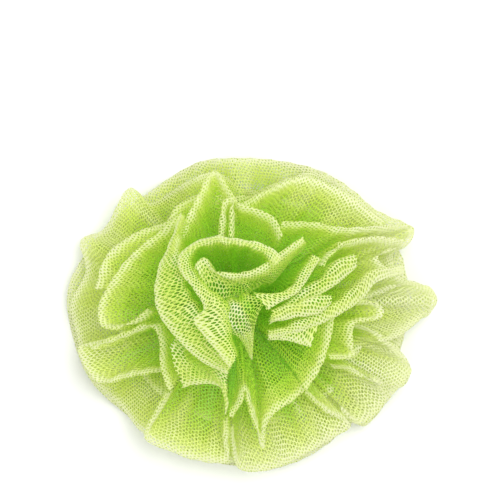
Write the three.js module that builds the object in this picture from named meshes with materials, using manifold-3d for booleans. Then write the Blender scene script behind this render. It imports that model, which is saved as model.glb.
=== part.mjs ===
// Scrub puff of gathered netting, lying on its back with its ruffles up.
// Millimetres, +Z up. The origin is on the flat underside, below the middle of the puff.
import * as THREE from "three";
import { mergeVertices } from "three/addons/utils/BufferGeometryUtils.js";
import Module from "manifold-3d";

const wasm = await Module();
wasm.setup();

// Driving dimensions
const puffWidth = 120; // across the front
const puffHeight = 101; // up the front
const puffDepth = 50; // how far the rose stands above the table
const netThickness = 0.9; // two layers of netting lying together
const facetLength = 6.8; // longest step along a rim

// The rims below are drawn at this size and scaled to the sizes above
const drawnWidth = 120;
const drawnHeight = 101;
const drawnDepth = 50;
const acrossScale = puffWidth / drawnWidth;
const upScale = puffHeight / drawnHeight;
const depthScale = puffDepth / drawnDepth;

const hubX = -4 * acrossScale; // the gathered middle sits off the centre of the outline
const hubY = 3 * upScale;
const domeRadius = 0.55 * puffWidth; // reach at which a dome of rims comes down to the table
const petalRoot = 13.6 * depthScale; // height at which the front petals leave the bunch
const skirtRoot = 5.4 * depthScale; // height at which the back skirts leave the bunch
const skirtSpread = 0.9 * depthScale; // spacing of the skirts' roots

const footRadius = 7; // flat gathered bunch that the puff lies on
const bellyRadius = 8.2; // where the foot bulges
const waistRadius = 5.6; // where the tie draws the netting in
const headRadius = 7.6; // bunch above the tie
const crownRadius = 4.6; // top of the head
const bellyHeight = 3;
const waistHeight = 10.6; // middle of the tie above the table
const neckSlope = 2.5; // height in which the bunch narrows to its waist, and widens again
const headHeight = 25; // top of the bunch above the table
const headTaper = 4; // height in which the head closes
const bunchFacets = 20;

const tieCord = 1.9; // thickness of the tying cord
const tieClearance = 0.3;
const knotWidth = 4.2;
const knotDepth = 3.2;
const knotEnd = 5; // trimmed ends of the cord past the knot
const knotEndWidth = 1.6;
const knotEndSpread = 3; // how far each end leans to its side
const cordFacets = 6;
const loopFacets = 20;

// Back skirts: closed rims [x, y] seen from the front, each with its height at the rim and its ripple
const skirts = [
  {
    rimHeight: 3.2, ripple: 2.6, ripples: 9, arch: 2.2,
    rim: [[-5, 50.5], [11, 49.7], [24, 46], [36, 38], [45, 28], [50, 16], [51, 4], [50, -8], [46, -20], [38, -31],
      [27, -41], [17, -47], [5, -50.5], [-8, -49], [-24, -44], [-40, -33], [-52, -21], [-58, -7], [-59.3, 7],
      [-54, 19], [-45, 30], [-32, 40], [-18, 49]],
  },
  {
    rimHeight: 9, ripple: 3.4, ripples: 11, arch: 4,
    rim: [[-39, 41], [-33, 36], [-22, 42], [-11, 46], [0, 40], [10, 43], [22, 46], [33, 39], [42, 33], [53, 28],
      [49, 23], [46, 18], [50, 11], [57.3, 9], [60.4, 5], [58.3, 0], [52, -4], [48, -12], [52, -18], [46, -26],
      [38, -36], [31, -35], [20, -42], [10, -47], [0, -45], [-8, -48], [-18, -45], [-30, -40], [-36, -37],
      [-43, -29], [-52, -20], [-56, -8], [-58, 3], [-53, 14], [-55, 24], [-47, 28]],
  },
  {
    rimHeight: 10.5, ripple: 2, ripples: 13, arch: 1.2,
    rim: [[-4, 38], [12, 37], [27, 30], [37, 18], [39, 2], [34, -14], [24, -27], [10, -34], [-8, -35], [-24, -29],
      [-37, -17], [-43, 0], [-40, 16], [-30, 29], [-17, 36]],
  },
];

// Front petals: rims [x, y] on domes of their own height, from the outer ones to the rose in the middle.
// A petal with a rise of 1 leans out straight; a higher one stays low and stands up at its rim.
// A face is rows beyond the rim, where a fold turns its flat side up.
const petals = {
  sideFan: { dome: 22, rise: 1, rim: [[31.4, 3.1], [40.6, 7.1], [49.4, 9.9], [58.1, 7.8], [58.3, 2.2], [48.6, -6.3],
    [41.4, -8.6]], face: [] },
  lobeFan: { dome: 21, rise: 1, rim: [[33, -2.9], [41.4, -6.5], [49, -13.2], [51.8, -18], [49.1, -23.2], [39.8,
    -21.4]], face: [] },
  cornerFan: { dome: 20, rise: 1, rim: [[26.2, -16.6], [34.2, -18.2], [44.4, -25.8], [36.7, -35], [29.4, -30.2]],
    face: [] },
  lowFan: { dome: 22, rise: 1, rim: [[17.7, -24.2], [25.4, -31], [32.4, -35.4], [26.2, -40], [17.3, -45.1], [9.7,
    -48.8], [3.4, -50.4], [-3.1, -49.6], [-5.1, -43.1], [-5.8, -35]], face: [] },
  footFan: { dome: 25, rise: 1.2, rim: [[-7.5, -33], [-7.5, -41.5], [-7.7, -47.2], [-17.2, -46.6], [-26, -43.5],
    [-33.4, -39.8], [-29.8, -31.8], [-25.5, -24.2]], face: [] },
  leftFan: { dome: 26, rise: 1.2, rim: [[-27.6, -17], [-38.8, -19], [-49.3, -21], [-55.3, -11], [-50.1, -9], [-38.8,
    -6.3], [-30.4, -3.3]], face: [] },
  topRuffle: { dome: 27, rise: 1, rim: [[-3.9, 34.4], [6.1, 40], [17.3, 44], [27.8, 40.4], [36.6, 34.8], [43.8,
    29.2]], face: [] },
  upperLeft: { dome: 30, rise: 1.2, rim: [[-49.3, 8.3], [-45.7, 18.7], [-36.4, 25.9], [-26.8, 29.2], [-22.8, 34.8],
    [-14.8, 38.8]], face: [] },
  upperSide: { dome: 31, rise: 1.2, rim: [[9.7, 29.2], [20.5, 29], [29.4, 27.4], [41.4, 27.7], [52.6, 28.2], [49.4,
    22.3], [40.6, 18.7], [45.4, 13.1]], face: [] },
  lowFold: { dome: 33, rise: 1.2, rim: [[29.4, 4.3], [40.6, 3.1], [41.4, -0.1], [33, -2.1], [32.2, -9.4], [32.6,
    -12.6], [24.6, -13]], face: [] },
  kite: { dome: 34, rise: 1.2, rim: [[-6.7, -32.2], [-3.9, -27.8], [-1.5, -23], [0.6, -28.6], [2.5, -35.8], [3.4,
    -42.3], [4.3, -35], [7.7, -30.2], [12.5, -27], [17.3, -22.8]], face: [] },
  kiteRidge: { dome: 38, rise: 1.4, rim: [[17.3, -23], [21.7, -15.8], [24.2, -8.6], [25.4, -2.9], [26.6, 1.9],
    [31.8, 5.1]], face: [] },
  leftCup: { dome: 35, rise: 1.7, rim: [[-21.2, 32.2], [-27.6, 26.7], [-34.8, 21.1], [-39.6, 16.3], [-43.6, 10.7],
    [-46.9, 5.1], [-48, 0.3], [-46.5, -2.9], [-42, -3.3], [-36.4, -2.1], [-31.6, 1.9]], face: [] },
  leftFold: { dome: 34, rise: 1.4, rim: [[-50.9, -10.2], [-45.3, -8.6], [-38, -5.7], [-30.8, -2.9], [-27.9, -7.8],
    [-27.6, -15.8], [-25.2, -23.8]], face: [] },
  topPeak: { dome: 40, rise: 1.6, rim: [[-24.4, 19.5], [-21.2, 26.7], [-18, 33.2], [-14.8, 39.6], [-11.6, 45.4],
    [-8.3, 41.2], [-4.3, 35.2], [1.3, 33.2], [6.9, 30.4], [9.7, 24.3]], face: [] },
  upperRight: { dome: 39, rise: 1.4, rim: [[22.1, 15.5], [24.6, 19.5], [29.4, 22.3], [39.8, 24.2], [49.4, 23.4]],
    face: [] },
  panelHem: { dome: 38, rise: 1.2, rim: [[-25.2, -7.8], [-19.6, -11], [-13.2, -15.8], [-6.7, -19]], face: [[37.5,
    [[-22.1, -22.4], [-18, -21.4], [-13.2, -21.2], [-9.3, -22.6], [-7.1, -27], [-8.2, -31.8]]]] },
  longRidge: { dome: 43, rise: 1.6, rim: [[5.3, -4.9], [13.3, -2.9], [21.3, 0.7], [29.4, 5.1], [35, 9.5], [39,
    13.9], [49.4, 15.5]], face: [[42.5, [[5.7, -6.3], [14.1, -4.9], [22.9, -1.7], [31, 2.5], [36.6, 6.7], [40.6,
    11.3], [49.4, 13.8]]]] },
  leaf: { dome: 42, rise: 1.4, rim: [[4.9, -5.7], [11.7, -4.7], [17.3, -3.7], [22.1, -2.3]], face: [[42, [[5.3,
    -6.8], [11.7, -7.1], [17.3, -8.6], [19.7, -9.2]]]] },
  upperFold: { dome: 45, rise: 1.6, rim: [[6.1, 0.3], [14.1, 5.9], [22.1, 11.5], [28.6, 17.1], [33.8, 19.1]], face:
    [[44, [[6.1, -2.1], [14.1, 1.9], [22.1, 7.1], [29.4, 12.1], [34, 16.2]]]] },
  underFold: { dome: 46.5, rise: 1.5, rim: [[6.1, 1.9], [14.1, 4.1], [22.1, 6], [26.3, 5.9]], face: [[45.5, [[6.9,
    -1.3], [14.1, 0.1], [21.3, 1.2], [25.2, 3.6]]]] },
  leftPanel: { dome: 46, rise: 2.4, rim: [[-20.9, 32.2], [-23, 22.7], [-23, 15.5], [-20.4, 8.3], [-17.3, 1.1],
    [-13.6, -4.5], [-9, -11], [-5.3, -15]], face: [[45, [[-21.7, 32.8], [-25.2, 23.5], [-28.6, 15.5], [-29.8, 7.5],
    [-28.4, 1.1], [-23.6, -5.7], [-15.6, -13.4], [-6.7, -17.9]]]] },
  roseArch: { dome: 51, rise: 2.6, rim: [[4.5, 19.5], [-2.7, 22.1], [-7.5, 23.5], [-11.6, 23.7], [-15, 22.2], [-18,
    20.5], [-19.7, 18.3], [-20.2, 15.4], [-19, 12.1], [-16, 8.7], [-12.5, 5.1], [-10.6, 1.9], [-10.1, -1.3], [-6.7,
    -9.4], [-3.8, -13.8]], face: [[50.5, [[4.9, 21.5], [-2.3, 24.2], [-7.5, 25.5], [-11.6, 25.6], [-15.6, 24.2],
    [-19.6, 22.3], [-21.8, 19.5], [-22.5, 15.5], [-21.6, 11.3], [-18.8, 6.9], [-15.6, 3.3], [-14.4, 0.3], [-14.3,
    -2.9], [-10.6, -11], [-5.5, -15.6]]]] },
  roseCurl: { dome: 44, rise: 1.3, rim: [[-11.6, 1.9], [-10.3, 5.1], [-7.5, 7.1], [-3.1, 8.1], [2.9, 8.9], [8.5,
    11.5], [14.9, 15.8], [20.5, 21.1]], face: [[48.5, [[-17, 13.1], [-15.7, 17.1], [-12.4, 17.3], [-9.5, 12.7],
    [-3.5, 13.3], [3.7, 15.9], [10.9, 20.3], [18.5, 24.5]]]] },
  ribbon: { dome: 50, rise: 1.8, rim: [[1.3, 5.9], [6.9, 6.7], [12.5, 8.1], [16.5, 11.9], [19.7, 17.1], [22, 19.9]],
    face: [[49, [[5.3, 3.1], [9.3, 4.3], [14.1, 5.9], [18.5, 9.5], [21.3, 14.7], [23.9, 19.1]]]] },
  centrePanel: { dome: 0, rise: 1, rim: [], face: [[24, [[-7.5, 1.1], [-5.8, 2.5], [-3.7, 4.1], [-1.3, 5.7]]], [46,
    [[-9.8, -2.1], [-6.7, 0.7], [-2.7, 3.6], [1.3, 6]]], [46.5, [[-6.7, -3.9], [-3.5, -2.1], [0.5, 1.1], [5.3,
    4.3]]], [45, [[-3.1, -6.8], [-1.1, -5.7], [1.3, -2.9], [2.5, -1.3]]], [43, [[0.2, -13.4], [0.7, -13.2], [1.1,
    -11], [1.4, -7.8]]]] },
};

const solidOf = (geometry) => {
  const bare = geometry.clone();
  bare.deleteAttribute("normal");
  bare.deleteAttribute("uv");
  const merged = mergeVertices(bare, 1e-5);
  return new wasm.Manifold(new wasm.Mesh({
    numProp: 3,
    vertProperties: merged.attributes.position.array,
    triVerts: new Uint32Array(merged.index.array),
  }));
};

// A height on the dome of rims, at a place seen from the front; far out, the dome no longer falls
const longestReach = 0.97;
const domeHeight = (dome, x, y) => {
  const reach = Math.min(Math.hypot(x - hubX, y - hubY) / domeRadius, longestReach);
  return dome * depthScale * Math.sqrt(1 - reach * reach);
};

const rimSpline = (rim, closed) =>
  new THREE.CatmullRomCurve3(rim.map(([x, y]) => new THREE.Vector3(x * acrossScale, y * upScale, 0)), closed, "catmullrom");

// Even steps along a rim; the spline runs through its points
const rimPoints = (rim, closed, steps) => {
  const points = rimSpline(rim, closed).getSpacedPoints(steps);
  return closed ? points.slice(0, -1) : points;
};

const stepsAlong = (rim, closed) => Math.ceil(rimSpline(rim, closed).getLength() / facetLength);

// A petal leaves the bunch and rises to its rim
const petalPoint = (rimPoint, { dome, rise }, out) => {
  const top = domeHeight(dome, rimPoint.x, rimPoint.y);
  return new THREE.Vector3(
    hubX + (rimPoint.x - hubX) * out,
    hubY + (rimPoint.y - hubY) * out,
    petalRoot + (top - petalRoot) * out ** rise,
  );
};

// A skirt leaves the bunch below the tie, arches a little and comes down to its rippled rim
const skirtPoint = (rimPoint, { rimHeight, ripple, ripples, arch }, level, out) => {
  const angle = Math.atan2(rimPoint.y - hubY, rimPoint.x - hubX);
  const root = skirtRoot + level * skirtSpread;
  const height = root + (rimHeight * depthScale - root) * out + arch * Math.sin(Math.PI * out) * out;
  return new THREE.Vector3(
    hubX + (rimPoint.x - hubX) * out,
    hubY + (rimPoint.y - hubY) * out,
    height + ripple * Math.sin(ripples * angle) * out ** 2,
  );
};

// A closed wall of even thickness along rows of points, rows running from the bunch to the rim
const wallSolid = (rows, closed) => {
  const across = rows[0].length;
  const columns = rows.length;
  const at = (i, j) => rows[closed ? (i + columns) % columns : THREE.MathUtils.clamp(i, 0, columns - 1)][
    THREE.MathUtils.clamp(j, 0, across - 1)];
  const sides = [[], []];
  for (let i = 0; i < columns; i += 1) {
    for (let j = 0; j < across; j += 1) {
      const along = at(i + 1, j).clone().sub(at(i - 1, j));
      const up = at(i, j + 1).clone().sub(at(i, j - 1));
      const normal = along.cross(up).normalize().multiplyScalar(netThickness / 2);
      sides[0].push(rows[i][j].clone().add(normal));
      sides[1].push(rows[i][j].clone().sub(normal));
    }
  }
  const total = columns * across;
  const index = [];
  const quad = (a, b, c, d) => index.push(a, b, c, a, c, d);
  const spans = closed ? columns : columns - 1;
  for (let i = 0; i < spans; i += 1) {
    const here = i * across;
    const next = ((i + 1) % columns) * across;
    for (let j = 0; j < across - 1; j += 1) {
      quad(here + j, next + j, next + j + 1, here + j + 1);
      quad(total + here + j + 1, total + next + j + 1, total + next + j, total + here + j);
    }
    const last = across - 1;
    quad(here + last, next + last, total + next + last, total + here + last);
    quad(total + here, total + next, next, here);
  }
  if (!closed) {
    const end = (columns - 1) * across;
    for (let j = 0; j < across - 1; j += 1) {
      quad(j, j + 1, total + j + 1, total + j);
      quad(end + j + 1, end + j, total + end + j, total + end + j + 1);
    }
  }
  const geometry = new THREE.BufferGeometry();
  const positions = sides.flat().flatMap((point) => point.toArray());
  geometry.setAttribute("position", new THREE.BufferAttribute(new Float32Array(positions), 3));
  geometry.setIndex(index);
  return solidOf(geometry);
};

// Petals start deep in the bunch, so that they join there
const reachesFor = (rise) => (rise === 1 ? [0.12, 0.6, 1] : [0.12, 0.5, 0.8, 1]);
const petalWall = (petal) => {
  const steps = stepsAlong(petal.rim.length ? petal.rim : petal.face.at(-1)[1], false);
  const rim = petal.rim.length ? rimPoints(petal.rim, false, steps) : [];
  const faceRows = petal.face.map(([dome, points]) =>
    rimPoints(points, false, steps).map(({ x, y }) => new THREE.Vector3(x, y, domeHeight(dome, x, y))));
  const columns = Array.from({ length: steps + 1 }, (_, step) => [
    ...(rim.length ? reachesFor(petal.rise).map((out) => petalPoint(rim[step], petal, out)) : []),
    ...faceRows.map((row) => row[step]),
  ]);
  return wallSolid(columns, false);
};

const skirtReaches = [0.07, 0.4, 0.72, 1];
const skirtWall = (skirt, level) =>
  wallSolid(rimPoints(skirt.rim, true, stepsAlong(skirt.rim, true)).map((point) =>
    skirtReaches.map((out) => skirtPoint(point, skirt, level, out))), true);

// The bunch is turned about the puff's axis: a flat foot, the tied waist and the head that the petals leave
const bunchSolid = () => {
  const waistBelow = waistHeight - tieCord;
  const waistAbove = waistHeight + tieCord;
  const profile = [
    [0, 0], [footRadius, 0], [bellyRadius, bellyHeight], [footRadius, waistBelow - neckSlope],
    [waistRadius, waistBelow], [waistRadius, waistAbove], [headRadius, waistAbove + neckSlope],
    [headRadius, headHeight - headTaper], [crownRadius, headHeight], [0, headHeight],
  ];
  const turned = new THREE.LatheGeometry(profile.map(([x, y]) => new THREE.Vector2(x, y)), bunchFacets);
  turned.rotateX(Math.PI / 2);
  turned.translate(hubX, hubY, 0);
  return solidOf(turned);
};

// Pockets shut in between crossing walls are filled: only the outer skin is kept
const outerSkin = (solid) => {
  const { numProp, vertProperties, triVerts } = solid.getMesh();
  const parent = Array.from({ length: vertProperties.length / numProp }, (_, vertex) => vertex);
  const find = (vertex) => {
    let top = vertex;
    while (parent[top] !== top) top = parent[top];
    parent[vertex] = top;
    return top;
  };
  for (let t = 0; t < triVerts.length; t += 3) {
    parent[find(triVerts[t + 1])] = find(triVerts[t]);
    parent[find(triVerts[t + 2])] = find(triVerts[t]);
  }
  const shells = new Map();
  for (let t = 0; t < triVerts.length; t += 3) {
    const shell = find(triVerts[t]);
    if (!shells.has(shell)) shells.set(shell, []);
    shells.get(shell).push(triVerts[t], triVerts[t + 1], triVerts[t + 2]);
  }
  const largest = [...shells.values()].sort((a, b) => b.length - a.length)[0];
  const geometry = new THREE.BufferGeometry();
  geometry.setAttribute("position", new THREE.BufferAttribute(new Float32Array(vertProperties), numProp));
  geometry.setIndex(largest);
  geometry.computeVertexNormals();
  return geometry;
};

const nettingGeometry = () => {
  let netting = bunchSolid();
  skirts.forEach((skirt, level) => {
    netting = netting.add(skirtWall(skirt, level));
  });
  for (const petal of Object.values(petals)) {
    netting = netting.add(petalWall(petal));
  }
  const room = 2 * puffWidth;
  const aboveTable = new THREE.BoxGeometry(room, room, room).translate(0, 0, room / 2);
  return outerSkin(netting.intersect(solidOf(aboveTable)));
};

// The tie is a loop of cord round the waist, with a knot and two trimmed ends at the back
const tieGeometry = () => {
  const cordRadius = tieCord / 2;
  const loopRadius = waistRadius + tieClearance + cordRadius;
  const loop = new THREE.TorusGeometry(loopRadius, cordRadius, cordFacets, loopFacets).translate(hubX, hubY, waistHeight);
  const knotX = hubX + loopRadius + cordRadius;
  const knot = new THREE.SphereGeometry(0.5, 10, 6).scale(knotDepth, knotWidth, knotDepth)
    .translate(knotX, hubY, waistHeight);
  const end = (side) => {
    const start = new THREE.Vector3(knotX, hubY, waistHeight);
    const path = new THREE.LineCurve3(start, start.clone().add(new THREE.Vector3(knotEnd, side * knotEndSpread, 0)));
    const section = new THREE.Shape().absarc(0, 0, knotEndWidth / 2, 0, 2 * Math.PI);
    return new THREE.ExtrudeGeometry(section, { steps: 1, bevelEnabled: false, curveSegments: cordFacets, extrudePath: path });
  };
  return outerSkin(solidOf(loop).add(solidOf(knot)).add(solidOf(end(1))).add(solidOf(end(-1))));
};

const nettingFinish = new THREE.MeshStandardMaterial({
  color: 0xa9d63a, roughness: 0.5, metalness: 0, side: THREE.DoubleSide,
});
const cordFinish = new THREE.MeshStandardMaterial({ color: 0xdfeaa0, roughness: 0.7, metalness: 0 });

const named = (name, geometry, material) => {
  const mesh = new THREE.Mesh(geometry, material);
  mesh.name = name;
  return mesh;
};

const group = new THREE.Group();
group.add(
  named("netting", nettingGeometry(), nettingFinish),
  named("center_tie", tieGeometry(), cordFinish),
);

export default group;
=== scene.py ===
import math

import bpy
import numpy as np
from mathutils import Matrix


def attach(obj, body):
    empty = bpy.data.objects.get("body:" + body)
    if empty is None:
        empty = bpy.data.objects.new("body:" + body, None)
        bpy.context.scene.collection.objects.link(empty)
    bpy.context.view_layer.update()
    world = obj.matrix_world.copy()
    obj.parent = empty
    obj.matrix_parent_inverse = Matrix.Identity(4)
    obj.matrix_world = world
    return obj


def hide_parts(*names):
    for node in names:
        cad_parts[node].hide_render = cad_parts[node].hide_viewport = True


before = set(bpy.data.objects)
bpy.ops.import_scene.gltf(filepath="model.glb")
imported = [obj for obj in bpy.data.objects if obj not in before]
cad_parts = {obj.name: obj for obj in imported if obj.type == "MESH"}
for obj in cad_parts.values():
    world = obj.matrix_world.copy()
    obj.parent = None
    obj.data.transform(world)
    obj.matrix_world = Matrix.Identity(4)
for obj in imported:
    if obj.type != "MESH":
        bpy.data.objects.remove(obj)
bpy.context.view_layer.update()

bpy.ops.object.select_all(action="DESELECT")
mm = 0.001

# camera, floor and light
studio = {
    "frameWidth": 161.3 * mm,  # what the picture spans at the height of the petals
    "aimX": 0.0, "aimY": 21.0 * mm,  # the puff sits low in the picture
    "aimHeight": 20 * mm,
    "distance": 0.95,
    "sensorWidth": 36,
    "clipStart": 0.01,
    "floorSize": 4.0,
    "floorColor": (0.93, 0.93, 0.925), "floorRoughness": 0.9,
    "skyColor": (1.0, 1.0, 1.0), "skyStrength": 0.72,
    "backdropColor": (1.0, 1.0, 1.0), "backdropStrength": 1,  # what the camera sees past the floor
    "keySize": 0.9, "keyPower": 9.5, "keyPlace": (0.38, 0.3, 1.08),
    "fillSize": 1.2, "fillPower": 4.0, "fillPlace": (-0.8, -0.5, 0.8),
}


def addCamera():
    place = (studio["aimX"], studio["aimY"], studio["aimHeight"] + studio["distance"])
    bpy.ops.object.camera_add(location=place)
    camera = bpy.context.object
    camera.name = "photoCamera"
    camera.rotation_euler = (0, 0, 0)  # straight down, top of the picture towards +Y
    camera.data.sensor_width = studio["sensorWidth"]
    camera.data.lens = camera.data.sensor_width * studio["distance"] / studio["frameWidth"]
    camera.data.clip_start = studio["clipStart"]
    bpy.context.scene.camera = camera


def addFloor():
    bpy.ops.mesh.primitive_plane_add(size=studio["floorSize"])
    floor = bpy.context.object
    floor.name = "floor"
    paint = bpy.data.materials.new("paleFloor")
    paint.use_nodes = True
    skin = paint.node_tree.nodes["Principled BSDF"]
    skin.inputs["Base Color"].default_value = (*studio["floorColor"], 1)
    skin.inputs["Roughness"].default_value = studio["floorRoughness"]
    floor.data.materials.append(paint)


def addLamp(name, place, size, power):
    bpy.ops.object.light_add(type="AREA", location=place)
    lamp = bpy.context.object
    lamp.name = name
    lamp.data.size = size
    lamp.data.energy = power
    away = math.hypot(place[0], place[1])
    tilt, bearing = math.atan2(away, place[2]), math.atan2(place[1], place[0])
    lamp.rotation_euler = (0, tilt, bearing)  # turned to the puff


def addSky():
    world = bpy.context.scene.world or bpy.data.worlds.new("studioWorld")
    bpy.context.scene.world = world
    world.use_nodes = True
    tree = world.node_tree
    tree.nodes.clear()
    path = tree.nodes.new("ShaderNodeLightPath")
    soft = tree.nodes.new("ShaderNodeBackground")
    soft.inputs["Color"].default_value = (*studio["skyColor"], 1)
    soft.inputs["Strength"].default_value = studio["skyStrength"]
    seen = tree.nodes.new("ShaderNodeBackground")
    seen.inputs["Color"].default_value = (*studio["backdropColor"], 1)
    seen.inputs["Strength"].default_value = studio["backdropStrength"]
    pick = tree.nodes.new("ShaderNodeMixShader")
    out = tree.nodes.new("ShaderNodeOutputWorld")
    tree.links.new(path.outputs["Is Camera Ray"], pick.inputs[0])
    tree.links.new(soft.outputs[0], pick.inputs[1])
    tree.links.new(seen.outputs[0], pick.inputs[2])
    tree.links.new(pick.outputs[0], out.inputs["Surface"])


bpy.context.scene.view_settings.view_transform = "Standard"
addCamera()
addFloor()
addSky()
addLamp("keyLamp", studio["keyPlace"], studio["keySize"], studio["keyPower"])
addLamp("fillLamp", studio["fillPlace"], studio["fillSize"], studio["fillPower"])
print("camera, floor and lamps are set")


# shader maths as Python expressions
class Wire:
    def __init__(self, tree, socket):
        self.tree = tree
        self.socket = socket

    def math(self, operation, other, swapped=False):
        pair = (other, self) if swapped else (self, other)
        return node(self.tree, "ShaderNodeMath", {"operation": operation}, {0: pair[0], 1: pair[1]})

    def __add__(self, other):
        return self.math("ADD", other)

    def __sub__(self, other):
        return self.math("SUBTRACT", other)

    def __mul__(self, other):
        return self.math("MULTIPLY", other)

    def __rsub__(self, other):
        return self.math("SUBTRACT", other, swapped=True)

    __radd__ = __add__
    __rmul__ = __mul__


def node(tree, kind, settings=None, inputs=None, output=0):
    made = tree.nodes.new(kind)
    for name, value in (settings or {}).items():
        if name == "stops":
            ramp = made.color_ramp
            while len(ramp.elements) < len(value):
                ramp.elements.new(1)
            for stop, (place, color) in zip(ramp.elements, value):
                stop.position = place
                stop.color = (*color, 1)
        else:
            setattr(made, name, value)
    for name, value in (inputs or {}).items():
        if isinstance(value, Wire):
            tree.links.new(value.socket, made.inputs[name])
        elif isinstance(value, tuple) and len(value) == 3 and made.inputs[name].type == "RGBA":
            made.inputs[name].default_value = (*value, 1)
        else:
            made.inputs[name].default_value = value
    return Wire(tree, made.outputs[output]) if made.outputs else None


# netting: pale yellow-green plastic thread, painted a deeper green as shade where many layers lie over each
# other in the crevices, and paler as highlight at the rims
netFinish = {
    # painted shade: the deep green of the crevices
    "deepShadeColor": (0.32, 0.72, 0.055),
    "shadeColor": (0.50, 0.74, 0.06), "shadeTone": 0.25,  # the tone at which this colour is met
    "threadColor": (0.74, 0.82, 0.2), "threadTone": 0.5,
    # painted highlight: the pale colour of the rims
    "highlightColor": (0.88, 0.87, 0.56), "highlightTone": 0.95,
    "glow": 0.3,  # share of the light that passes through a thread
    "glowColor": (0.62, 0.82, 0.07),
    "roughness": 0.42, "roughnessSpread": 0.3,
    "specular": 0.45,
    "patch": 60.0, "patchDetail": 3.0,  # the colour's slow changes, per metre
    "patchShare": 0.25,  # how far they move the tone
    "strand": 1400.0, "strandDetail": 1.0,  # the thread's own grain, per metre
    "strandShare": 0.2,
    "strandDepth": 0.0001, "strandStrength": 0.6,
}


def netMaterial(name):
    look = netFinish
    paint = bpy.data.materials.new(name)
    paint.use_nodes = True
    tree = paint.node_tree
    tree.nodes.clear()
    place = node(tree, "ShaderNodeTexCoord", output=3)
    patches = node(tree, "ShaderNodeTexNoise", None,
                   {"Vector": place, "Scale": look["patch"], "Detail": look["patchDetail"]})
    strands = node(tree, "ShaderNodeTexNoise", None,
                   {"Vector": place, "Scale": look["strand"], "Detail": look["strandDetail"]})
    # the tone attribute is painted light: painted shade in the crevices and painted highlight at the rims,
    # moved below by random patches and the thread's grain
    tone = node(tree, "ShaderNodeAttribute", {"attribute_name": "tone"}, output=2)
    mask = tone + (patches - 0.5) * look["patchShare"] + (strands - 0.5) * look["strandShare"]
    color = node(tree, "ShaderNodeValToRGB", {"stops": [
        (0.0, look["deepShadeColor"]), (look["shadeTone"], look["shadeColor"]),
        (look["threadTone"], look["threadColor"]), (look["highlightTone"], look["highlightColor"])]}, {"Fac": mask})
    roughness = look["roughness"] + (strands - 0.5) * look["roughnessSpread"]
    bump = node(tree, "ShaderNodeBump", None,
                {"Height": strands, "Distance": look["strandDepth"], "Strength": look["strandStrength"]})
    skin = node(tree, "ShaderNodeBsdfPrincipled", None,
                {"Base Color": color, "Roughness": roughness, "Normal": bump,
                 "Specular IOR Level": look["specular"]})
    through = node(tree, "ShaderNodeBsdfTranslucent", None, {"Color": look["glowColor"]})
    both = node(tree, "ShaderNodeMixShader", None, {0: look["glow"], 1: skin, 2: through})
    node(tree, "ShaderNodeOutputMaterial", None, {"Surface": both})
    return paint


# the puff's own measures, as the part holds them, in millimetres
puff = {
    "hubX": -4.0, "hubY": 3.0,  # the middle, where all the netting is gathered
    "domeRadius": 66.0, "domeEdge": 0.97,  # the domes stay this share of the way to their rim
    "petalRoot": 13.6,
    "skirtRoot": 5.4,
    "skirtSpread": 0.9,  # between one skirt's root and the next
    "lowest": 0.1,  # no thread lies lower
}

net = {  # in millimetres
    "cell": 1.16,  # distance between the holes
    "thread": 0.275,  # share of a cell that is thread on each side
    "skirtThread": 0.31,
    "rimThread": 0.23,  # how much more of it at a rim, where the net lies double
    "threadArea": 0.44,  # share of the sheet's flat area that is thread
    "unevenness": 0.032,  # how far a knot strays, as a share of a cell
    "drift": 0.55,  # how far the rows of holes wander
    "slowWave": 0.31, "quickWave": 0.83, "crossWave": 0.27,  # and how soon they turn, in radians per millimetre
    "quickShare": 0.4,
    "stretch": 1.24,  # longer holes one way than the other
    "slant": 0.9, "slantStep": 1.7,  # turns the rows of holes off the rim, each sheet's otherwise, in radians
    "petalColumns": 220, "skirtColumns": 500,  # how finely a rim is read
    "fanBelow": 0.5,  # a root shorter than this share of the rim is cut as a fan
    "widestFan": 6.0,  # in radians
    "rimReach": 1.7,  # how wide a rim is, with its extra thread and its painted highlight
    "innerRim": 0.45,  # how much of it a petal's rim has where a face goes on beyond
    "wallStart": 0.6, "wallReach": 7.5,  # where the painted shade on a wall starts below its rim, and over what height it deepens
    # painted highlight at a rim and on the crests of the gathers
    "rimHighlight": 0.62, "crestHighlight": 0.75,
    "rollRadius": 0.7,  # how roundly a rim folds over, to the sleeve's second layer
    "rollTurns": (math.pi / 3, 2 * math.pi / 3, math.pi),
    "layerGap": 2.2,  # how far under the first layer the second lies, in roll radii
    "layerSteps": (0.35, 0.7, 1),  # its rows, as shares of its length
    "faceCover": 0.7,  # a face's second layer is no longer than this share of the face
}

gathers = {  # the soft waves of the netting, in millimetres
    "billowWidth": 19.0, "billowDepth": 1.1,
    "billowSway": 0.8, "billowSwayTurns": 1.7,  # how unevenly the billows follow each other
    "pleatWidth": 6.5, "pleatDepth": 0.5,
    "pleatSway": 1.3, "pleatSwayTurns": 2, "pleatPhase": 2.1,
    "pleatEven": 0.6, "pleatPatchy": 0.4,  # pleats are deep in some places and shallow in others
    "fullness": 0.8,  # under 1, the gathers are deepest below the middle of a wall
    "rimPleats": 0.3,  # share of the pleats' depth that is left at the rim
}

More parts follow.
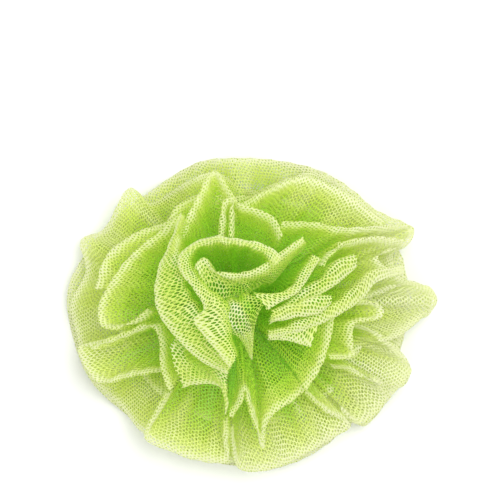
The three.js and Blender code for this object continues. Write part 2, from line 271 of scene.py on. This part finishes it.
skirts = {
    "backSkirt": {
        "rimHeight": 3.2, "ripple": 2.6, "ripples": 9, "arch": 2.2, "level": 0,
        "rim": [(-5, 50.5), (11, 49.7), (24, 46), (36, 38), (45, 28), (50, 16), (51, 4), (50, -8), (46, -20),
                (38, -31), (27, -41), (17, -47), (5, -50.5), (-8, -49), (-24, -44), (-40, -33), (-52, -21),
                (-58, -7), (-59.3, 7), (-54, 19), (-45, 30), (-32, 40), (-18, 49)],
    },
    "lobedSkirt": {
        "rimHeight": 9, "ripple": 3.4, "ripples": 11, "arch": 4, "level": 1,
        "rim": [(-39, 41), (-33, 36), (-22, 42), (-11, 46), (0, 40), (10, 43), (22, 46), (33, 39),
                (42, 33), (53, 28), (49, 23), (46, 18), (50, 11), (57.3, 9), (60.4, 5), (58.3, 0),
                (52, -4), (48, -12), (52, -18), (46, -26), (38, -36), (31, -35), (20, -42), (10, -47),
                (0, -45), (-8, -48), (-18, -45), (-30, -40), (-36, -37), (-43, -29), (-52, -20),
                (-56, -8), (-58, 3), (-53, 14), (-55, 24), (-47, 28)],
    },
    "innerSkirt": {
        "rimHeight": 10.5, "ripple": 2, "ripples": 13, "arch": 1.2, "level": 2,
        "rim": [(-4, 38), (12, 37), (27, 30), (37, 18), (39, 2), (34, -14), (24, -27), (10, -34), (-8, -35),
                (-24, -29), (-37, -17), (-43, 0), (-40, 16), (-30, 29), (-17, 36)],
    },
}
skirtSteps = (0.1, 0.25, 0.4, 0.55, 0.7, 0.85, 1)  # the rows, as shares of the way from the middle to the rim
skirtFold = 8  # how long a skirt's second layer is
skirtPhase = 0.7  # sets one skirt's gathers off from the next one's

# dome is the rim's height over the middle, rise tells how late a wall climbs,
# and face holds the rows that lie beyond the rim, each with its own dome
petals = {
    "sideFan": {
        "dome": 22, "rise": 1,
        "rim": [(31.4, 3.1), (40.6, 7.1), (49.4, 9.9), (58.1, 7.8), (58.3, 2.2), (48.6, -6.3),
                (41.4, -8.6)],
    },
    "lobeFan": {
        "dome": 21, "rise": 1,
        "rim": [(33, -2.9), (41.4, -6.5), (49, -13.2), (51.8, -18), (49.1, -23.2), (39.8, -21.4)],
    },
    "cornerFan": {
        "dome": 20, "rise": 1,
        "rim": [(26.2, -16.6), (34.2, -18.2), (44.4, -25.8), (36.7, -35), (29.4, -30.2)],
    },
    "lowFan": {
        "dome": 22, "rise": 1,
        "rim": [(17.7, -24.2), (25.4, -31), (32.4, -35.4), (26.2, -40), (17.3, -45.1), (9.7, -48.8),
                (3.4, -50.4), (-3.1, -49.6), (-5.1, -43.1), (-5.8, -35)],
    },
    "footFan": {
        "dome": 25, "rise": 1.2,
        "rim": [(-7.5, -33), (-7.5, -41.5), (-7.7, -47.2), (-17.2, -46.6), (-26, -43.5), (-33.4, -39.8),
                (-29.8, -31.8), (-25.5, -24.2)],
    },
    "leftFan": {
        "dome": 26, "rise": 1.2,
        "rim": [(-27.6, -17), (-38.8, -19), (-49.3, -21), (-55.3, -11), (-50.1, -9), (-38.8, -6.3),
                (-30.4, -3.3)],
    },
    "topRuffle": {
        "dome": 27, "rise": 1,
        "rim": [(-3.9, 34.4), (6.1, 40), (17.3, 44), (27.8, 40.4), (36.6, 34.8), (43.8, 29.2)],
    },
    "upperLeft": {
        "dome": 30, "rise": 1.2,
        "rim": [(-49.3, 8.3), (-45.7, 18.7), (-36.4, 25.9), (-26.8, 29.2), (-22.8, 34.8), (-14.8, 38.8)],
    },
    "upperSide": {
        "dome": 31, "rise": 1.2,
        "rim": [(9.7, 29.2), (20.5, 29), (29.4, 27.4), (41.4, 27.7), (52.6, 28.2), (49.4, 22.3),
                (40.6, 18.7), (45.4, 13.1)],
    },
    "lowFold": {
        "dome": 33, "rise": 1.2,
        "rim": [(29.4, 4.3), (40.6, 3.1), (41.4, -0.1), (33, -2.1), (32.2, -9.4), (32.6, -12.6),
                (24.6, -13)],
    },
    "kite": {
        "dome": 34, "rise": 1.2,
        "rim": [(-6.7, -32.2), (-3.9, -27.8), (-1.5, -23), (0.6, -28.6), (2.5, -35.8), (3.4, -42.3),
                (4.3, -35), (7.7, -30.2), (12.5, -27), (17.3, -22.8)],
    },
    "kiteRidge": {
        "dome": 38, "rise": 1.4,
        "rim": [(17.3, -23), (21.7, -15.8), (24.2, -8.6), (25.4, -2.9), (26.6, 1.9), (31.8, 5.1)],
    },
    "leftCup": {
        "dome": 35, "rise": 1.7,
        "rim": [(-21.2, 32.2), (-27.6, 26.7), (-34.8, 21.1), (-39.6, 16.3), (-43.6, 10.7), (-46.9, 5.1),
                (-48, 0.3), (-46.5, -2.9), (-42, -3.3), (-36.4, -2.1), (-31.6, 1.9)],
    },
    "leftFold": {
        "dome": 34, "rise": 1.4,
        "rim": [(-50.9, -10.2), (-45.3, -8.6), (-38, -5.7), (-30.8, -2.9), (-27.9, -7.8),
                (-27.6, -15.8), (-25.2, -23.8)],
    },
    "topPeak": {
        "dome": 40, "rise": 1.6,
        "rim": [(-24.4, 19.5), (-21.2, 26.7), (-18, 33.2), (-14.8, 39.6), (-11.6, 45.4), (-8.3, 41.2),
                (-4.3, 35.2), (1.3, 33.2), (6.9, 30.4), (9.7, 24.3)],
    },
    "topPleat": {
        "dome": 42, "rise": 1.3,
        "rim": [(-9, 23.4), (-8.3, 30), (-7.5, 35.7), (-5.5, 36.1), (-5.3, 30), (-5.5, 24.2)],
    },
    "upperRight": {
        "dome": 39, "rise": 1.4,
        "rim": [(22.1, 15.5), (24.6, 19.5), (29.4, 22.3), (39.8, 24.2), (49.4, 23.4)],
    },
    "panelHem": {
        "dome": 38, "rise": 1.2,
        "rim": [(-25.2, -7.8), (-19.6, -11), (-13.2, -15.8), (-6.7, -19)],
        "face": [
            (37.5, [(-22.1, -22.4), (-18, -21.4), (-13.2, -21.2), (-9.3, -22.6), (-7.1, -27),
                 (-8.2, -31.8)]),
        ],
    },
    "longRidge": {
        "dome": 43, "rise": 1.6,
        "rim": [(5.3, -4.9), (13.3, -2.9), (21.3, 0.7), (29.4, 5.1), (35, 9.5), (39, 13.9), (49.4, 15.5)],
        "face": [
            (42.5, [(5.7, -6.3), (14.1, -4.9), (22.9, -1.7), (31, 2.5), (36.6, 6.7), (40.6, 11.3),
                 (49.4, 13.8)]),
        ],
    },
    "leaf": {
        "dome": 42, "rise": 1.4,
        "rim": [(4.9, -5.7), (11.7, -4.7), (17.3, -3.7), (22.1, -2.3)],
        "face": [
            (42, [(5.3, -6.8), (11.7, -7.1), (17.3, -8.6), (19.7, -9.2)]),
        ],
    },
    "upperFold": {
        "dome": 45, "rise": 1.6,
        "rim": [(6.1, 0.3), (14.1, 5.9), (22.1, 11.5), (28.6, 17.1), (33.8, 19.1)],
        "face": [
            (44, [(6.1, -2.1), (14.1, 1.9), (22.1, 7.1), (29.4, 12.1), (34, 16.2)]),
        ],
    },
    "underFold": {
        "dome": 46.5, "rise": 1.5,
        "rim": [(6.1, 1.9), (14.1, 4.1), (22.1, 6), (26.3, 5.9)],
        "face": [
            (45.5, [(6.9, -1.3), (14.1, 0.1), (21.3, 1.2), (25.2, 3.6)]),
        ],
    },
    "leftPanel": {
        "dome": 46, "rise": 2.4,
        "rim": [(-20.9, 32.2), (-23, 22.7), (-23, 15.5), (-20.4, 8.3), (-17.3, 1.1), (-13.6, -4.5),
                (-9, -11), (-5.3, -15)],
        "face": [
            (45, [(-21.7, 32.8), (-25.2, 23.5), (-28.6, 15.5), (-29.8, 7.5), (-28.4, 1.1),
                 (-23.6, -5.7), (-15.6, -13.4), (-6.7, -17.9)]),
        ],
    },
    "roseArch": {
        "dome": 51, "rise": 4,
        "rim": [(8.6, 16.6), (6.1, 19.5), (3, 21.2), (-1, 22.4), (-5.6, 23.3), (-10.5, 24), (-14.2, 23),
                (-17.6, 21.3), (-20, 19), (-20.3, 16.9), (-19.2, 14.4), (-16.7, 11.6), (-13.9, 8.2),
                (-12.1, 5.7), (-11.2, 3), (-11, -0.7), (-8.7, -5.4), (-6.5, -9.7), (-4.7, -14)],
        "face": [
            (50.5, [(10.1, 18.1), (7.1, 21), (3.3, 22.9), (-1, 23.8), (-5.6, 24.6), (-10.8, 25.3),
                 (-14.9, 24.3), (-18.9, 22.4), (-21.5, 19.9), (-22.4, 16.9), (-21.2, 13.8),
                 (-18.6, 10.7), (-16.4, 7.6), (-14.7, 4.8), (-14.5, 2.3), (-17.3, -0.7), (-14.2, -5.4),
                 (-10.2, -10.3), (-5.9, -15.9)]),
        ],
    },
    "roseCurl": {
        "dome": 39, "rise": 2.5,
        "rim": [(-10.2, -2), (-9.5, 1.1), (-7.1, 3.9), (-3.4, 5.9), (0.9, 7.3), (5.2, 10.7),
                (10.8, 14.4), (18.8, 22.1)],
        "face": [
            (44, [(-13.3, 6.1), (-11.2, 8.2), (-7.8, 9.5), (-2.8, 9.6), (2.1, 10.7), (6.4, 12.8),
                 (11.7, 16.6), (18.5, 23)]),
            (48.5, [(-16.9, 14.1), (-16, 16.9), (-14.4, 17.7), (-12.4, 15.9), (-10.2, 13.5),
                 (-5.3, 12.7), (0.3, 13.5), (5.2, 15.9), (11.4, 20.3), (17.5, 24.4)]),
        ],
    },
    "ribbon": {
        "dome": 50, "rise": 2.2,
        "rim": [(1.8, 6.5), (5.2, 6.8), (9.5, 7.6), (12.6, 8.8), (15.7, 11.9), (18.2, 15.9),
                (20.9, 19.5)],
        "face": [
            (49, [(5.2, 2.3), (8.3, 4.5), (12.3, 6.1), (15.4, 8.5), (17.9, 11.9), (20, 15.3),
                 (22.2, 18.6)]),
        ],
    },
    "centrePanel": {
        "dome": 0, "rise": 1,
        "rim": [],
        "face": [
            (24, [(-7.5, -0.7), (-5.3, 1.1), (-2.8, 3), (-0.4, 4.5)]),
            (47, [(-9.9, -2), (-7.8, 0), (-5.3, 2.5), (-2.8, 4.5), (-0.4, 6.1), (2.1, 6.8)]),
            (47, [(-9.3, -4.6), (-6.8, -3.2), (-4.1, -1.3), (-1, 1.1), (2.1, 3.3), (5.2, 4.5)]),
            (46, [(-5.9, -5.4), (-4.1, -5.1), (-1.6, -3.8), (0.3, -2), (2.1, -0.1), (3.7, 1.7)]),
            (44.5, [(-3.1, -7.5), (-1.9, -7.5), (-0.7, -7.2), (0.6, -6.6), (1.3, -5.1), (1.8, -2.9)]),
            (43, [(-1, -11.2), (-0.5, -11.4), (0, -11.4), (0.4, -11.2), (0.9, -10.6), (1.1, -9.1)]),
            (42.5, [(0.2, -13.2), (0.4, -13.3), (0.6, -13.2), (0.8, -13)]),
        ],
    },
}

petalSteps = (0.14, 0.32, 0.52, 0.7, 0.86, 1)

# which petals are made as one piece, how long their second layer is, and how dark the painted shade on their
# walls grows
netPieces = {
    "sideRuffles": {"petals": ["sideFan", "lobeFan", "cornerFan", "lowFan"], "foldBack": 6, "wallShade": 1},
    "outerRuffles": {"petals": ["footFan", "leftFan", "topRuffle", "upperLeft", "upperSide"],
                     "foldBack": 6, "wallShade": 1},
    "lowPetals": {"petals": ["lowFold", "kite", "kiteRidge", "panelHem"], "foldBack": 9, "wallShade": 0.55},
    "leftPetals": {"petals": ["leftCup", "leftFold", "leftPanel"], "foldBack": 9, "wallShade": 1},
    "topPetals": {"petals": ["topPeak", "topPleat", "upperRight", "upperFold", "underFold", "longRidge",
                             "leaf"],
                  "foldBack": 9, "wallShade": 1},
    "rosePetals": {"petals": ["roseArch", "roseCurl", "ribbon", "centrePanel"], "foldBack": 9, "wallShade": 1},
}

# the gathered middle, from the flat foot through the tied waist to the head: radius and height
bunch = {
    "profile": [(1.2, 1), (6.8, 0.8), (8, 3), (7, 6.5), (5.6, 8.7), (5.6, 12.5), (7.4, 15.5), (7.4, 20),
                (4.6, 24), (0.8, 25)],
    "columns": 200,
    "foldBack": 1,
    "phase": 0.3,
    "shade": 1,  # painted shade all over
}

shading = {  # painted light: a thread's tone runs from 0 in the crevices, under painted shade, to 1 at a rim with a painted highlight
    "middle": 0.5,
    "top": 50,  # the height of the dome that depth is measured from
    "shadeEnd": 50, "shadeFade": 25,  # how far from the middle the crevices get painted shade, and how softly that ends
    # how much painted shade a wall and a deep place get
    "wallShare": 0.7, "depthShare": 0.4,
    "depthStart": 8, "depthFade": 27,
    "outerPaintedLight": 0.28, "outerStart": 38, "outerFade": 16,  # the outer net is painted paler, as painted light
    "rightPaintedLight": 0.1, "rightReach": 40,  # and most of all on the right, where the key lamp stands
}


class Rim:
    # a spline through the rim's points, read by the distance along it
    splits = 40

    def __init__(self, points, closed):
        points = np.array(points, float)
        self.closed = closed
        if closed:
            ring = np.vstack([points[-1:], points, points[:2]])
        else:
            ring = np.vstack([2 * points[0] - points[1], points, 2 * points[-1] - points[-2]])
        fine = []
        for k in range(len(ring) - 3):
            p0, p1, p2, p3 = ring[k:k + 4]
            t = np.linspace(0, 1, self.splits, endpoint=False)[:, None]
            fine.append(0.5 * (2 * p1 + (p2 - p0) * t + (2 * p0 - 5 * p1 + 4 * p2 - p3) * t ** 2
                               + (3 * p1 - p0 - 3 * p2 + p3) * t ** 3))
        fine.append(ring[-2][None, :])
        self.path = np.vstack(fine)
        steps = np.linalg.norm(np.diff(self.path, axis=0), axis=1)
        self.reach = np.concatenate([[0], np.cumsum(steps)])
        self.length = self.reach[-1]

    def at(self, distance):
        distance = np.mod(distance, self.length) if self.closed else np.clip(distance, 0, self.length)
        return [np.interp(distance, self.reach, self.path[:, c]) for c in (0, 1)]


def onDome(rim, dome):
    # the rim's points in space, evenly spaced, as high as the dome is there
    x, y = rim.at(np.linspace(0, rim.length, net["petalColumns"]))
    reach = np.minimum(np.hypot(x - puff["hubX"], y - puff["hubY"]) / puff["domeRadius"], puff["domeEdge"])
    return np.stack([x, y, dome * np.sqrt(1 - reach ** 2)], -1)


def petalRows(petal):
    # rows of points from the gathered middle up to the rim, then over the face
    rows = []
    if petal["rim"]:
        top = onDome(Rim(petal["rim"], False), petal["dome"])
        hub = np.array([puff["hubX"], puff["hubY"], puff["petalRoot"]])
        for out in petalSteps:
            row = hub + (top - hub) * out
            row[:, 2] = hub[2] + (top[:, 2] - hub[2]) * out ** petal["rise"]
            rows.append(row)
    rimRow = max(len(rows) - 1, 1)
    rows += [onDome(Rim(points, False), height) for height, points in petal.get("face", [])]
    return rows, rimRow


def skirtRows(skirt):
    rim = Rim(skirt["rim"], True)
    x, y = rim.at(np.linspace(0, 1, net["skirtColumns"]) * rim.length * 0.99999)  # just short of the start
    angle = np.arctan2(y - puff["hubY"], x - puff["hubX"])
    root = puff["skirtRoot"] + skirt["level"] * puff["skirtSpread"]
    rows = []
    for share in skirtSteps:
        ripple = skirt["ripple"] * np.sin(skirt["ripples"] * angle) * share ** 2
        arch = skirt["arch"] * math.sin(math.pi * share) * share
        height = root + (skirt["rimHeight"] - root) * share + arch
        rows.append(np.stack([puff["hubX"] + (x - puff["hubX"]) * share,
                              puff["hubY"] + (y - puff["hubY"]) * share, height + ripple], -1))
    return rows


def bunchRows():
    turn = np.linspace(0, 2 * np.pi, bunch["columns"])
    way = np.stack([np.cos(turn), np.sin(turn), 0 * turn], -1)
    return [way * radius + [puff["hubX"], puff["hubY"], height] for radius, height in bunch["profile"]]


def across(rows):
    # how far each row lies from the first, in millimetres
    steps = [np.linalg.norm(b - a, axis=1).mean() for a, b in zip(rows, rows[1:])]
    return np.concatenate([[0], np.cumsum(steps)])


def unit(vectors):
    return vectors / np.maximum(np.linalg.norm(vectors, axis=-1, keepdims=True), 1e-9)


def smoothed(vectors, reach=7, rounds=4):
    # neighbours share their way down, or the fold tears
    weights = np.ones(2 * reach + 1) / (2 * reach + 1)
    for k in range(rounds):
        vectors = unit(np.stack([np.convolve(np.pad(vectors[:, c], reach, "edge"), weights, "valid")
                                 for c in range(3)], -1))
    return vectors


def foldOver(rows, rimRow, foldBack):
    # rolls the sheet over at its last row and lays a second layer under it
    roll = net["rollRadius"]
    crest, before = rows[-1], rows[-2]
    if rimRow < len(rows) - 1:
        faceWidth = np.linalg.norm(crest - rows[rimRow], axis=1)
        foldBack = np.minimum(foldBack, net["faceCover"] * faceWidth)[:, None]
    up = unit(crest - before)
    down = unit(np.cross(np.gradient(crest, axis=0), up))
    down *= np.where(down[:, 2:] > 0, -1, 1)
    down = smoothed(down)
    folded = [crest + up * roll * math.sin(turn) + down * roll * (1 - math.cos(turn))
              for turn in net["rollTurns"]]
    under = crest + down * net["layerGap"] * roll
    return rows + folded + [under - up * foldBack * part for part in net["layerSteps"]]


def reader(rows, places, closed):
    # reads the sheet anywhere: u runs from 0 to 1 along a row, v in millimetres across the rows
    grid = np.array(rows)
    slopes = np.gradient(grid, places, axis=0)
    count = grid.shape[1]

    def surface(u, v):
        v = np.clip(v, places[0], places[-1])
        k = np.clip(np.searchsorted(places, v, side="right") - 1, 0, len(places) - 2)
        wide = places[k + 1] - places[k]
        t = ((v - places[k]) / wide)[..., None]
        wide = wide[..., None]
        u = np.mod(u, 1) if closed else np.clip(u, 0, 1)
        column = u * (count - 1)
        left = np.clip(column.astype(int), 0, count - 2)
        part = (column - left)[..., None]

        def pick(table, row):
            return table[row, left] * (1 - part) + table[row, left + 1] * part

        a, b = pick(grid, k), pick(grid, k + 1)
        slopeA, slopeB = pick(slopes, k) * wide, pick(slopes, k + 1) * wide
        return ((1 + 2 * t) * (1 - t) ** 2 * a + t * (1 - t) ** 2 * slopeA
                + t ** 2 * (3 - 2 * t) * b + t ** 2 * (t - 1) * slopeB)
    return surface


def gathered(surface, length, crest, closed, phase):
    # lifts and lowers the surface by soft gathers, deepest between the bunch and the rim
    wave = gathers
    billows = max(1, round(length / wave["billowWidth"]))
    pleats = max(2, round(length / wave["pleatWidth"]))
    nearU, nearV = 0.002, 0.1  # how far to either side a slope is read

    def shaped(u, v):
        along = surface(u + nearU, v) - surface(u - nearU, v)
        up = surface(u, v + nearV) - surface(u, v - nearV)
        normal = unit(np.cross(along, up))
        wide = 2 * np.pi * u
        share = np.clip(v / crest, 0, 1)
        sway = 0 if closed else wave["billowSway"] * np.sin(wave["billowSwayTurns"] * wide + 2 * phase)
        billow = np.sin(billows * wide + phase + sway)
        sway = wave["pleatSway"] * np.sin(wave["pleatSwayTurns"] * wide + phase)
        pleat = np.sin(pleats * wide + wave["pleatPhase"] * phase + sway)
        pleat = pleat * (wave["pleatEven"] + wave["pleatPatchy"] * np.sin(wide))
        inner = np.sin(np.pi * share ** wave["fullness"])
        depth = (wave["billowDepth"] * billow * inner
                 + wave["pleatDepth"] * pleat * (inner + wave["rimPleats"] * share ** 3))
        return surface(u, v) + normal * depth[..., None]
    return shaped


def joinCells(number, odd):
    # a quad is a thread between two neighbouring cells, a triangle the knot where three meet
    size = number.shape[0]

    def neighbour(di, dj):
        a = np.clip(np.arange(size)[:, None] + di, 0, size - 1)
        b = np.clip(np.arange(size)[None, :] + dj, 0, size - 1)
        return number[a, b]

    east = neighbour(1, 0)
    northEast = neighbour(odd, 1)
    northWest = neighbour(odd - 1, 1)

    def faces(*spots):
        good = number >= 0
        for cells, k in spots:
            good &= cells >= 0
        return np.stack([cells[good] * 6 + k for cells, k in spots], -1)

    quads = np.vstack([
        faces((number, 5), (east, 3), (east, 2), (number, 0)),
        faces((number, 0), (northEast, 4), (northEast, 3), (number, 1)),
        faces((number, 1), (northWest, 5), (northWest, 4), (number, 2)),
    ])
    knots = np.vstack([
        faces((number, 0), (east, 2), (northEast, 4)),
        faces((number, 1), (northEast, 3), (northWest, 5)),
    ])
    return quads, knots


def fanShape(rootLength, length, crest, closed):
    # a sheet that widens is cut as a sector of a disc: its root's radius, its angle and its scale
    if rootLength >= net["fanBelow"] * length:
        return 0, 0, 1
    rootRadius = petalSteps[0] * crest / (1 - petalSteps[0])
    angle = 2 * np.pi if closed else min(length / (rootRadius + crest), net["widestFan"])
    return rootRadius, angle, length / angle / (rootRadius + crest)


def netSheet(rows, rimRow, closed, foldBack, phase, shade=0, thread=net["thread"], wallShade=1):
    # a hexagonal net laid over the rows
    crestRow = len(rows) - 1
    rows = foldOver(rows, rimRow, foldBack)
    places = across(rows)
    lengths = [np.linalg.norm(np.diff(row, axis=0), axis=1).sum() for row in rows]
    crest = places[crestRow]
    length = max(lengths[:crestRow + 1])
    plain = reader(rows, places, closed)
    shaped = gathered(plain, length, crest, closed, phase)

    cell = net["cell"]
    rootRadius, angle, scale = fanShape(lengths[0], length, crest, closed)
    farthest = max((rootRadius + places[-1]) * scale, length, places[-1])
    reach = int(farthest / cell * 1.6) + 3  # enough cells each way, turned and stretched as they are
    i, j = np.meshgrid(np.arange(-reach, reach + 1), np.arange(-reach, reach + 1), indexing="ij")
    odd = j % 2
    shake = np.random.default_rng(int(phase * 10)).normal(0, net["unevenness"] * cell, (2, *i.shape, 1))

    def laid(offsetX, offsetY):
        x = ((i + 0.5 * odd) * cell)[..., None] + offsetX + shake[0]
        y = (j * cell * math.sqrt(3) / 2)[..., None] + offsetY + shake[1]
        slow, quick = np.sin(net["slowWave"] * y + phase), np.sin(net["quickWave"] * y + 2 * phase)
        x = x + net["drift"] * slow + net["quickShare"] * net["drift"] * quick
        y = y + net["drift"] * np.sin(net["crossWave"] * x + 2 * phase)
        x, y = x * net["stretch"], y / net["stretch"]
        slant = net["slant"] + net["slantStep"] * phase
        x, y = x * math.cos(slant) - y * math.sin(slant), x * math.sin(slant) + y * math.cos(slant)
        if not angle:
            return x / length + 0.5, y + places[-1] / 2
        return np.arctan2(x, y) / angle + 0.5, np.hypot(x, y) / scale - rootRadius

    def rimNear(v):
        return np.maximum(np.exp(-((v - crest) / net["rimReach"]) ** 2),
                          net["innerRim"] * np.exp(-((v - places[rimRow]) / net["rimReach"]) ** 2))

    middleU, middleV = (part[..., 0] for part in laid(np.zeros(1), np.zeros(1)))
    kept = (middleV > 0) & (middleV < places[-1]) & (middleU > 0) & (middleU < 1)
    number = np.full(i.shape, -1)
    number[kept] = np.arange(kept.sum())
    corner = np.radians(30 + 60 * np.arange(6))
    radius = cell / math.sqrt(3) * (1 - thread - net["rimThread"] * rimNear(middleV)[..., None])
    u, v = laid(np.cos(corner) * radius, np.sin(corner) * radius)
    u, v = u[kept], v[kept]
    if closed:
        middle = middleU[kept][:, None]
        u = middle + np.mod(u - middle + 0.5, 1) - 0.5
    else:
        u = np.clip(u, 0.001, 0.999)
    corners = shaped(u, v).reshape(-1, 3)
    raised = corners[:, 2] - plain(u, v).reshape(-1, 3)[:, 2]  # painted highlight on the crests of the gathers
    # painted shade: even over a closed sheet, else growing down a wall below its rim
    if closed:
        low = np.full(len(corners), shade)
    else:
        low = wallShade * np.clip((places[rimRow] - v - net["wallStart"]) / net["wallReach"], 0, 1).reshape(-1)
    quads, knots = joinCells(number, odd)
    rowWidths = (np.array(lengths[1:]) + lengths[:-1]) / 2
    return {
        "corners": corners, "quads": quads, "knots": knots,
        # painted highlight at the rims and on the crests of the gathers
        "rim": net["rimHighlight"] * rimNear(v).reshape(-1) + net["crestHighlight"] * raised / gathers["billowDepth"],
        "low": low,
        "width": float((rowWidths * np.diff(places)).sum() / places[-1]),  # the cut's mean width
        "height": places[-1],
    }


def paintedLightOf(corners, rim, low):
    # how pale each thread is painted, by its place on the puff: painted shade deep in the crevices, painted
    # highlight at rims and gather crests, and painted light on the outer net and its right side
    x, y, z = corners.T / mm
    away = np.hypot(x - puff["hubX"], y - puff["hubY"])
    ceiling = shading["top"] * np.sqrt(1 - np.minimum(away / puff["domeRadius"], puff["domeEdge"]) ** 2)
    central = np.clip((shading["shadeEnd"] - away) / shading["shadeFade"], 0, 1)
    sunk = np.clip((ceiling - z - shading["depthStart"]) / shading["depthFade"], 0, 1)
    paintedShade = np.clip(shading["wallShare"] * low + shading["depthShare"] * sunk, 0, 1) * central
    # painted light: the outer net is paler, most of all on the right, where the key lamp stands
    outerPaintedLight = shading["outerPaintedLight"] + shading["rightPaintedLight"] * np.clip(x / shading["rightReach"], -1, 1)
    outward = outerPaintedLight * np.clip((away - shading["outerStart"]) / shading["outerFade"], 0, 1)
    half = shading["middle"]
    return np.clip(half - half * paintedShade + half * rim * (1 - paintedShade) + outward, 0, 1)


def buildMesh(name, parts):
    def joined(key):
        return np.concatenate([part[key] for part in parts])

    starts = np.cumsum([0] + [len(part["corners"]) for part in parts])
    corners = joined("corners") * mm
    quads = np.vstack([part["quads"] + start for part, start in zip(parts, starts)])
    knots = np.vstack([part["knots"] + start for part, start in zip(parts, starts)])
    corners[:, 2] = np.maximum(corners[:, 2], puff["lowest"] * mm)
    mesh = bpy.data.meshes.new(name)
    mesh.vertices.add(len(corners))
    mesh.vertices.foreach_set("co", corners.astype(np.float32).ravel())
    loops = np.concatenate([quads.ravel(), knots.ravel()]).astype(np.int32)
    sides = np.concatenate([np.full(len(quads), 4), np.full(len(knots), 3)]).astype(np.int32)
    mesh.loops.add(len(loops))
    mesh.loops.foreach_set("vertex_index", loops)
    mesh.polygons.add(len(sides))
    mesh.polygons.foreach_set("loop_start", np.concatenate([[0], np.cumsum(sides)[:-1]]).astype(np.int32))
    mesh.polygons.foreach_set("use_smooth", np.ones(len(sides), bool))
    mesh.update(calc_edges=True)
    mesh.validate()
    # painted light: each corner's painted shade and painted highlight
    tone = paintedLightOf(corners, joined("rim"), joined("low"))
    mesh.attributes.new("tone", "FLOAT", "POINT").data.foreach_set("value", tone.astype(np.float32))
    piece = bpy.data.objects.new(name, mesh)
    bpy.context.collection.objects.link(piece)
    return piece


def addNet(name, parts, paint):
    # one piece of netting from its parts, laid in for the solid that it replaces
    piece = buildMesh(name, parts)
    piece.data.materials.append(paint)
    width = sum(part["width"] for part in parts)
    height = sum(part["width"] * part["height"] for part in parts) / width
    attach(piece, "root")
    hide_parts("netting")
    width * mm
    height * mm
    net["threadArea"] * width * height * mm * mm
    print(name, "has", len(piece.data.polygons), "faces")


def addBunch(paint):
    rows = bunchRows()
    part = netSheet(rows, len(rows) - 1, True, bunch["foldBack"], bunch["phase"], shade=bunch["shade"])
    addNet("gatheredMiddle", [part], paint)


def addSkirts(paint):
    for number, (name, skirt) in enumerate(skirts.items()):
        rows = skirtRows(skirt)
        part = netSheet(rows, len(rows) - 1, True, skirtFold, skirtPhase + number, thread=net["skirtThread"])
        addNet(name, [part], paint)


def addPetals(paint):
    for name, group in netPieces.items():
        parts = []
        for petalName in group["petals"]:
            rows, rimRow = petalRows(petals[petalName])
            phase = sum(map(ord, petalName)) % 7  # each petal gets gathers of its own
            parts.append(netSheet(rows, rimRow, False, group["foldBack"], phase, wallShade=group["wallShade"]))
        addNet(name, parts, paint)


netPaint = netMaterial("limeNetting")
addBunch(netPaint)
addSkirts(netPaint)
addPetals(netPaint)


# the tie keeps its solid and gets a twisted cord's finish, with painted shade in the twist's grooves and a
# painted highlight on its strands
tieFinish = {
    "grooveShadeColor": (0.55, 0.62, 0.32), "highlightColor": (0.82, 0.88, 0.60),
    "twist": 260.0, "unevenness": 2.0,
    "twistDepth": 0.0003,
    "roughness": 0.75,
}


def dressTie():
    paint = bpy.data.materials.new("paleCord")
    paint.use_nodes = True
    tree = paint.node_tree
    tree.nodes.clear()
    place = node(tree, "ShaderNodeTexCoord", output=3)
    strand = node(tree, "ShaderNodeTexWave", {"bands_direction": "DIAGONAL"},
                  {"Vector": place, "Scale": tieFinish["twist"], "Distortion": tieFinish["unevenness"]},
                  output=1)
    # painted shade in the grooves and painted highlight on the strands, following the bump
    color = node(tree, "ShaderNodeMix", {"data_type": "RGBA"},
                 {0: strand, 6: tieFinish["grooveShadeColor"], 7: tieFinish["highlightColor"]}, output=2)
    bump = node(tree, "ShaderNodeBump", None, {"Height": strand, "Distance": tieFinish["twistDepth"]})
    skin = node(tree, "ShaderNodeBsdfPrincipled", None,
                {"Base Color": color, "Roughness": tieFinish["roughness"], "Normal": bump})
    node(tree, "ShaderNodeOutputMaterial", None, {"Surface": skin})
    for matSlot in bpy.data.objects["center_tie"].material_slots:
        matSlot.material = paint


dressTie()
print("the tie is dressed")
